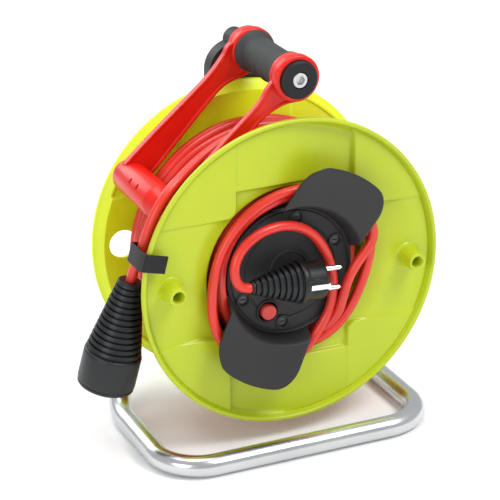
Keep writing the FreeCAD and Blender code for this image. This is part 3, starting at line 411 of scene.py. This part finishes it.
# (radius, distance behind the front lip) down the lip's rounded edge and round the back of the plate
LIP_ROUND = [(140.3, 3.1), (140.8, 1.3), (141.6, 0.35), (142.9, 0.0), (144.1, 0.35), (144.8, 1.2),
             (145.0, 2.4)]
PLATE_BACK = [(145, 3.8), (144.6, 4.5), (143.4, 4.9), (136.5, 12), (83.5, 12), (83.5, 61.4), (80.5, 61.4),
              (80.5, 53), (13.1, 53), (13.1, 50), (80.5, 50), (80.5, 10.5)]
face = [around_drum(80.9, 9.9), around_drum(81.5, 9.4)]
face += [around_drum(82 + 0.85 * k, dish) for k in range(67)]
face += [around_drum(139.3, lambda x, z: dish(x, z) + 0.7)]
face += [around_drum(r, y) for r, y in LIP_ROUND + PLATE_BACK]
front = piece("front_flange_shell", surface(face, closed=True), "lime_plastic", "drum", ["front_flange"],
              sharp=50)
for side, turn in (("right", -2), ("left", 178)):
    peg = lathe([(0, 12.5), (1.2, 10.9), (3.2, 10.0), (7, 9.5), (19.6, 8.3), (20.8, 7.9), (21.3, 7.2),
                 (21.3, 6.0), (20.8, 5.5), (5, 5.2), (4.5, 4.6), (4.5, 0.01)],
                polar(117, turn, 6.3), -BACK, 64)
    piece("peg_" + side, peg, "lime_plastic", "drum", sharp=60)


def inner_face(x, z):
    """The rear flange's face on the cable's side: its panels are sunk from here."""
    out = math.hypot(x, z)
    sunk = 3.6 * max(corner(x, z, -a, b) for a, b in PANELS)
    return 117 + sunk * ramp(139 - out, 0, 4) + 1.14 * max(out - 136.5, 0)


REAR_LIP = [(143, 124.4), (144.6, 125.2), (145, 126.5), (145, 128), (144.7, 128.6), (143.9, 129),
            (142.6, 129), (141.4, 128.3), (140.6, 126.6), (140, 125)]
REAR_CORE = [(80.5, 120), (13.1, 120), (13.1, 117), (80.4, 117), (80.4, 61.8), (83.6, 61.8)]
face = [around_drum(83.6, 117), around_drum(84.5, 117)]
face += [around_drum(86 + 1.1 * k, inner_face) for k in range(50)]
face += [around_drum(r, y) for r, y in REAR_LIP]
face += [around_drum(138 - 1.1 * k, lambda x, z: inner_face(x, z) + 3) for k in range(50)]
face += [around_drum(r, y) for r, y in REAR_CORE]
# the rear flange takes the brighter lime copy: painted light on its shaded face, not a different plastic
rear = piece("rear_flange_shell", surface(face, closed=True), "lime_plastic", "drum", ["rear_flange"],
             sharp=50, mat=LIME_PAINTED_LIGHT)
cut(rear, lathe([(0, 13.5), (30, 13.5)], polar(118, 177.2, 105), BACK, 72))

# --- lead hub and its wings -----------------------------------------------------------------------

hub = lathe([(0, 0.01), (0, 16.4), (-0.9, 17.2), (-0.9, 19.4), (0, 20.2), (0, 42.8), (0.8, 43.4), (0.8, 44.4),
             (0, 45), (0, 56.4), (1.1, 57.2), (1.1, 58.3), (-0.5, 59.0), (-1.2, 60.0), (-0.6, 61), (1, 61.2),
             (40, 61), (40, 58), (4, 57.6), (4, 0.01)], at(0, 10, 0), BACK, 128)
hub = piece("hub_floor", hub, "hub_plastic", "drum", ["lead_hub"])
for turn in (25, 82, 205, 262):
    cut(hub, lathe([(-2, 5.0), (1.2, 4.4), (2.4, 4.2), (14, 4.2)], polar(50, turn, 9), BACK, 40))
    ring = lathe([(0, 5.1), (-1.0, 5.4), (-1.0, 6.7), (0.6, 7.4), (0.6, 5.1)], polar(50, turn, 10), BACK, 40,
                 closed=True)
    piece(f"boss_ring_{turn}", ring, "hub_plastic", "drum", sharp=40)
cut(hub, lathe([(-4, 9.3), (20, 9.3)], at(-22, 9, -36), BACK, 48))
ring = lathe([(-1.4, 9.2), (-1.9, 9.8), (-1.6, 10.9), (0.6, 11.5), (0.6, 9.2)], at(-22, 10, -36), BACK, 64,
             closed=True)
piece("button_ring", ring, "hub_plastic", "drum", sharp=50)
button = lathe([(5.4, 7.3), (1.4, 7.4), (0.5, 7.1), (0.1, 6.3), (0.2, 4.4), (0.5, 2), (0.55, 0.01)],
               at(-22, 5.0, -36), BACK, 64)
button = piece("button_cap", button, "red_button", "reset_button", ["reset_button"], sharp=50)

# (radius, distance behind the front lip) from a wing's root to its outer edge
WING = [(60.6, 9.6), (60.9, 7.5), (61.8, 3.5), (63.2, -1), (64.8, -5), (66.0, -7.4), (67.4, -8.4),
        (69.2, -8.6)]
WING += [(69.2 + 3.4 * k, -8.6 - 0.92 * k) for k in range(1, 10)]
WING += [(101.6, -17.3), (103.4, -17.7), (104.8, -17.7), (105.5, -17.0)]


def wing(name, middle):
    """One of the two blades that hold the lead in: a cone's strip with rounded outer corners."""
    half_width = 44.0
    corner_radius = 17
    rows = []
    for out, depth in WING:
        past = max(out - (105.5 - corner_radius), 0)
        half = half_width - corner_radius + math.sqrt(max(corner_radius ** 2 - past ** 2, 0))
        spread = math.degrees(math.asin(min(half / out, 0.99)))
        row = []
        for k in range(49):
            share = math.sin((k / 48 - 0.5) * math.pi)
            droop = 0.9 * max(abs(share) - 0.93, 0) / 0.07
            row.append(polar(out, middle + spread * share, depth + droop))
        rows.append(row)
    blade = piece(name, surface(rows, around=False), "hub_plastic", "drum", sharp=60)
    wall = blade.modifiers.new("wall", "SOLIDIFY")
    wall.thickness = 3 * MM
    wall.offset = -1
    rounding = blade.modifiers.new("rounding", "BEVEL")
    rounding.width = 0.7 * MM
    rounding.segments = 3
    rounding.angle_limit = math.radians(50)
    return blade


for name, middle in (("upper_wing", 60), ("lower_wing", 240)):
    wing(name, middle)

# --- plug -----------------------------------------------------------------------------------------


def ribbed(first, last, count, slim, wide, share, groove):
    """A cone's profile with ribs: each is share of its pitch wide, with a groove behind it."""
    pitch = (last - first) / count
    line = []
    for k in range(count):
        start = first + pitch * k
        low = slim + (wide - slim) * k / count
        high = slim + (wide - slim) * (k + share) / count
        line += [(start, low - groove), (start + 0.02 * pitch, low - 0.25),
                 (start + 0.14 * pitch, low + 0.1), (start + (share - 0.1) * pitch, high + 0.1),
                 (start + share * pitch, high - 0.3), (start + (share + 0.03) * pitch, high - groove)]
    return line


PLUG_WAY = Vector((0.9984, 0, -0.0562))
PLUG_TAIL = at(-47, -10, -1)
body = [(0, 4.7), (0, 6.0), (0.8, 6.5), (2.2, 6.5)]
body += ribbed(3, 44.5, 8, 7.3, 19.0, 0.62, 2.9)
body += [(44.6, 17.0), (44.8, 18.9), (45.6, 19.4), (48.2, 19.4), (49.2, 18.6), (50.4, 17.7), (52, 17.5),
         (66, 17.5), (67.6, 17.2), (68.9, 16.4), (69.5, 15.2), (69.5, 0.01)]


def squared(along, radius, turn):
    """The plug's head has flat cheeks; its neck is round."""
    part = ramp(along, 49, 52)
    flat = min(abs(math.cos(turn)), 1.0)
    return mix(radius, min(radius, 16.4 / max(flat, 0.2)), part)


plug = piece("plug_shell", lathe(body, PLUG_TAIL, PLUG_WAY, 96, shape=squared), "black_rubber", "drum",
             ["plug_body"], sharp=38)
for i, (out, up) in enumerate(((16.6, 2.2), (16.6, -2.2), (15.4, 6.4), (15.4, -6.4))):
    rib = lathe([(0, 0.9), (0.8, 1.3), (8, 1.3), (9, 0.9)],
                PLUG_TAIL + PLUG_WAY * 54 * MM + Vector((0, -out, up)) * MM, PLUG_WAY, 16)
    piece(f"plug_cheek_rib_{i}", rib, "black_rubber", "drum", sharp=40)

# --- coupling -------------------------------------------------------------------------------------

COUPLING_WAY = Vector((-0.225, 0.1, -0.969)).normalized()
COUPLING_NECK = at(-145, 28, 9)
shell = [(0, 4.7), (0, 10.4), (0.7, 11.2), (3.6, 11.8), (4.4, 11.2)]
shell += ribbed(5, 69, 12, 12.2, 25.2, 0.64, 2.7)
shell += [(69.2, 23.5), (69.6, 25.2), (70.6, 26.0), (72.4, 26.2), (98, 26.2), (99.4, 25.9), (100, 25.2),
          (101, 25.2), (101.4, 25.8), (103, 25.6), (104, 24.6), (104, 23.1), (79, 23.1), (76, 22), (74, 4.7)]
piece("coupling_shell", lathe(shell, COUPLING_NECK, COUPLING_WAY, 112, closed=True), "black_rubber", "frame",
      ["coupling_body"], sharp=40)

# --- handle ---------------------------------------------------------------------------------------

FRONT_ARM = [(-108, 60), (-116, 69), (-102, 88.5), (-60, 129), (-40, 147), (-26, 160.5), (-15, 176), (8, 190),
             (20, 160), (-4, 154), (-22, 145), (-40, 128), (-66, 106), (-96, 76)]
REAR_ARM = [(-112, 64), (-124, 82), (-100, 107), (-60, 141), (-38, 160), (-24, 176), (-15, 188), (10, 192),
            (18, 166), (0, 157), (-22, 149), (-40, 132.5), (-70, 101), (-94, 76)]
for name, outline, front_y, back_y in (("handle_front_arm", FRONT_ARM, 14, 20),
                                       ("handle_rear_arm", REAR_ARM, 100, 107)):
    piece(name, slab(smooth_line(outline, 5), front_y, back_y, 2.4, 1.2), "red_plastic", "frame", bevel=1.0)
for name, front_y, back_y in (("front", 6, 24), ("rear", 98, 115.5)):
    ring = [(front_y, 17.4), (front_y, 19.6), (front_y + 0.7, 20.6), (front_y + 1.8, 21), (front_y + 8.5, 21),
            (front_y + 10.5, 20.2), (back_y, 19.2), (back_y, 10.2), (back_y - 3, 10.2), (front_y + 8, 17.4)]
    piece(f"handle_{name}_ring", lathe(ring, at(6, 0, 179), BACK, 96, closed=True), "red_plastic", "frame",
          ["handle_frame"] if name == "front" else [], sharp=45)
beam = lathe([(0, 0.01), (0, 5.2), (1.2, 7.6), (5, 10.0), (14, 14.9), (16.5, 15.5), (88, 15.5), (90.6, 14.8),
              (92.2, 13.2), (92.9, 11), (92.9, 0.01)], at(-113, 22.1, 74), BACK, 96)
beam = piece("handle_beam", beam, "red_plastic", "frame", sharp=45)
SLOT_OUTLINE = [(-0.8 * out - 0.6 * wide - 113, 0.6 * out - 0.8 * wide + 74)
                for out, wide in ((11.5, -2.4), (18, -2.4), (18, 2.4), (11.5, 2.4))]
for y in (56.8, 72.8):
    cut(beam, slab(SLOT_OUTLINE, y, y + 3))

grip_line = [(24.3, 10.2), (24.3, 18.2), (24.8, 18.9), (26, 19.2), (27.6, 19.0), (29.2, 18.2), (30.6, 17.0),
             (32.4, 16.2)]
grip_line += [(32.4 + k * 1.3, 15.8) for k in range(1, 45)]
grip_line += [(92, 16.6), (93.6, 18.4), (95, 19.6), (96.4, 19.7), (97.4, 19), (97.7, 18.2), (97.7, 10.2)]


def fingers(along, radius, turn):
    """The grip's underside has finger waves."""
    if not 31 < along < 92:
        return radius
    under = max(-math.sin(turn), 0)
    wave = 1.9 * math.cos((along - 41) * 2 * math.pi / 14.5)
    return radius + under * wave


grip = lathe(grip_line, at(6, 0, 179), BACK, 96, closed=True, shape=fingers)
piece("grip_cover", grip, "grip_rubber", "frame", ["grip_sleeve"], sharp=50)

# --- cable clip -----------------------------------------------------------------------------------


def across_rim(section, turn, half):
    """A (radius, y) outline drawn out sideways by half each way, square to the rim at that turn."""
    out = Vector((math.cos(math.radians(turn)), 0, math.sin(math.radians(turn))))
    side = Vector((-out.z, 0, out.x))
    work = bmesh.new()
    ends = []
    for sign in (-1, 1):
        ends.append([work.verts.new(at(0, 0, 0) + (out * r + BACK * y + side * half * sign) * MM)
                     for r, y in section])
    work.faces.new(ends[0])
    work.faces.new(ends[1])
    n = len(section)
    for i in range(n):
        work.faces.new((ends[0][i], ends[0][(i + 1) % n], ends[1][(i + 1) % n], ends[1][i]))
    bmesh.ops.recalc_face_normals(work, faces=work.faces)
    mesh = bpy.data.meshes.new("strap")
    work.to_mesh(mesh)
    work.free()
    return mesh


STRAP = [(146.2, -2.6), (149.6, -1.2), (150.8, 1.6), (150.8, 14), (150.6, 27.2), (147.8, 30.4), (133, 30.4),
         (133, 28.8), (146.8, 28.8), (148.4, 25.8), (148.4, 1.2), (146.4, -0.8)]
TAB = [(127.0, -3.4), (147.4, -3.4), (148.2, -2.2), (147, -0.8), (127.0, -0.8)]
piece("clip_strap", across_rim(STRAP, 165.7, 8.4), "black_plastic", "cable_clip", ["cable_clip"], bevel=0.5,
      mat=HUB)
piece("clip_tab", across_rim(TAB, 165.7, 8.0), "black_plastic", "cable_clip", bevel=0.6)

# --- cords ----------------------------------------------------------------------------------------

LAYERS = (88.6, 96.8, 105.0, 113.0)
PER_TURN = 16


def layer_depth(layer, share):
    """How far behind the front lip a layer's cable lies, that share of the way along it."""
    if layer == len(LAYERS) - 1:
        across = min(share * 1.75, 1.0)
        returned = max(share * 1.75 - 1.0, 0.0) / 0.75
        return 17.5 + 88 * across - 47 * returned
    low, high = (107.5, 17.5) if layer % 2 == 0 else (17.5, 107.5)
    return low + (high - low) * share


def winding_points():
    """The cable on the drum: four layers wound from side to side, the last one looser."""
    ease = math.cos(math.pi / PER_TURN)
    points = []
    angle = -120.0
    for layer, radius in enumerate(LAYERS):
        top = layer == len(LAYERS) - 1
        loose = 0.9 if top else 0.25
        count = round((9.0 if top else 10.0) * PER_TURN)
        for k in range(count):
            share = k / count
            lift = 4.0 * ramp(share, 0.6, 0.72) if top else 0.0
            reach = (radius + lift + random.uniform(-loose, loose)) / ease
            points.append(polar(reach, angle, layer_depth(layer, share) + random.uniform(-loose, loose)))
            angle += 360 / PER_TURN
    return points


# the free end over the handle's beam: x, distance behind the front lip, height above the axle
TAIL = [(-22, 57, 121.6), (-43, 53.5, 116.2), (-63.5, 47, 109), (-82, 38, 102), (-96.5, 29.2, 96),
        (-108.3, 22.8, 90.4), (-117.8, 19.2, 82), (-125, 18, 71.5), (-130.3, 18, 60), (-134.5, 18.6, 48),
        (-138, 20.4, 36.5), (-141, 23.4, 26), (-143.4, 26.9, 16.5), (-145, 28, 9)]
# the lead from its plug: the loop over the hub, as (x, behind the lip, above the axle)
LOOP = [(-47, -10, -1), (-54, -10, -0.6), (-60.5, -9.5, 6), (-62.5, -8.6, 17), (-58.5, -7, 29.5),
        (-46.5, -5.5, 42), (-26, -4, 50), (-3, -1.6, 48.6), (17, 0.6, 37.5), (31, 2, 18.5), (39, 3, -3.5),
        (41, 3.4, -26), (36.5, 3.8, -45), (30, 3.8, -56), (22, 3.4, -67), (12, 2, -77), (-3, 0.5, -85)]
# the outer strand, as (radius, degrees, behind the lip)
OUTER = [(88.5, -112, -1), (90.5, -132, -1), (89, -148, -0.5), (83.5, -163, 1), (79, -180, 2),
         (77, -200, 2.5), (77, -221, 2.5), (78, -242, 2), (80.5, -262, 0.5), (82.5, -283, -1.5),
         (84.5, -306, -3), (85, -328, -4), (82, -344, -4)]
# where the outer strand crosses in to the inner one
CROSSING = [(62, -3.5, 3), (53, -2.5, -12), (48.5, -1.2, -30), (45, 0.5, -46), (38, 6, -59), (26, 12, -69.5),
            (8, 13.5, -75), (-14, 13.5, -74), (-35, 13, -66)]
# the inner strand, going deeper as it turns
INNER = [(72, -138, 12), (69, -160, 10.5), (68.5, -182, 9.5), (70, -205, 8.5), (71.5, -228, 7.5),
         (73.5, -252, 5), (76, -276, 3), (79, -300, 1), (80.5, -322, 0.5), (81, -342, 0.5), (76, -358, 1.5),
         (73, -377, 3), (74, -397, 3.5), (77, -416, 5), (78, -434, 8), (77, -452, 12)]


def lead_points():
    """The plug's lead from its grommet: deep turns, two strands that show, the loop, the plug."""
    points = [at(*p) for p in LOOP]
    points += [polar(r, a, y) for r, a, y in OUTER]
    points += [at(*p) for p in CROSSING]
    points += [polar(r, a, y) for r, a, y in INNER]
    for step in range(24):
        points.append(polar(74 - 3 * math.sin(step), -492 - 30 * step, 20 + 0.78 * step))
    points += [polar(68.5, 246, 40.5), polar(68, 240.5, 45), polar(68, 240, 50)]
    return points[::-1]


wound = cable("drum_cable", winding_points(), CABLE)
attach(wound, "drum")
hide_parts("main_winding")
tail = cable("tail_cable", [at(*p) for p in TAIL], CABLE)
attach(tail, "frame")
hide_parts("cable_tail")
lead = cable("plug_lead", lead_points(), CABLE)
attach(lead, "drum")
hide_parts("lead_coil", "lead_loop")
